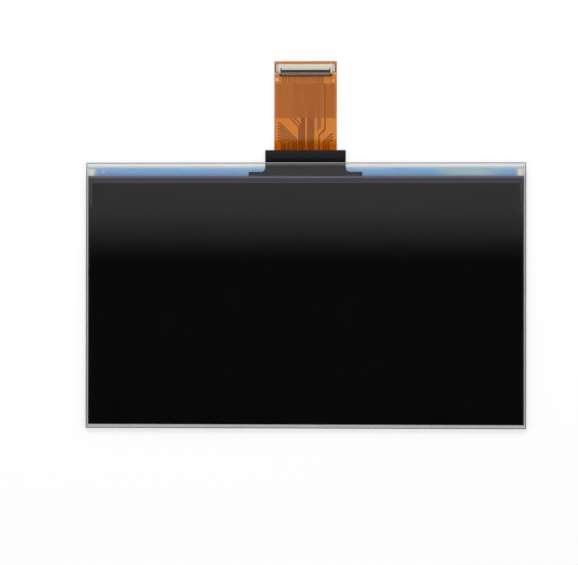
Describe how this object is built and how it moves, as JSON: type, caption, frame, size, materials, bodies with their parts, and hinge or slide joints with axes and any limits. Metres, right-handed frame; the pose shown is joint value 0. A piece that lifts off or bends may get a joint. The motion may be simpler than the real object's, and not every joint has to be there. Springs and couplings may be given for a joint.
{
  "type": "resin printer lcd panel",
  "caption": "Flat black liquid-crystal panel under clear cover glass, with a blue-sealed contact ledge, black shield tape and an amber flexible tail that ends in a flip-lock cable connector.",
  "frame": {"origin": "middle of the cover glass's outline, on the outer face of the rear polarizing film", "axes": "+X along the panel's long side, +Y toward the flexible tail, +Z out of the picture face"},
  "size_m": [0.225, 0.188, 0.0038],
  "materials": {
    "polarizer_film": "smooth black film",
    "cell_glass": "clear, cut edges",
    "cell_seal": "cured sealant",
    "liquid_crystal": "dark film",
    "clear_adhesive": "clear",
    "cover_glass": "polished, ground edges",
    "silicon_chip": "ground silicon",
    "blue_sealant": "cured blue resin",
    "bond_adhesive": "cured film",
    "polyimide_film": "amber film",
    "copper": "etched copper",
    "polyimide_coverlay": "amber film",
    "stiffener_board": "laminate",
    "black_tape": "satin black tape",
    "ivory_moulding": "moulded",
    "tinned_metal": "tin plated",
    "black_moulding": "moulded"
  },
  "bodies": {
    "panel": {"rear_polarizer": "polarizer_film", "array_glass": "cell_glass", "cell_seal": "cell_seal", "liquid_crystal": "liquid_crystal", "counter_glass": "cell_glass", "front_polarizer": "polarizer_film", "adhesive_sheet": "clear_adhesive", "cover_glass": "cover_glass", "driver_chip_left": "silicon_chip", "driver_chip_right": "silicon_chip", "ledge_sealant_left": "blue_sealant", "ledge_sealant_right": "blue_sealant", "bond_strip": "bond_adhesive", "flex_film": "polyimide_film", "flex_traces": "copper", "flex_coverlay": "polyimide_coverlay", "flex_ground_plane": "copper", "connector_stiffener": "stiffener_board", "shield_tape": "black_tape", "connector_housing": "ivory_moulding", "connector_contacts": "tinned_metal", "solder_tab_left": "tinned_metal", "solder_tab_right": "tinned_metal"},
    "lock_lever": {"connector_lock_lever": "black_moulding"}
  },
  "joints": [
    {"name": "lock_lever_hinge", "type": "hinge", "parent": "panel", "child": "lock_lever", "pos_m": [0, 0.11455, 0.00184], "axis": [1, 0, 0], "range_deg": [0, 90]}
  ]
}
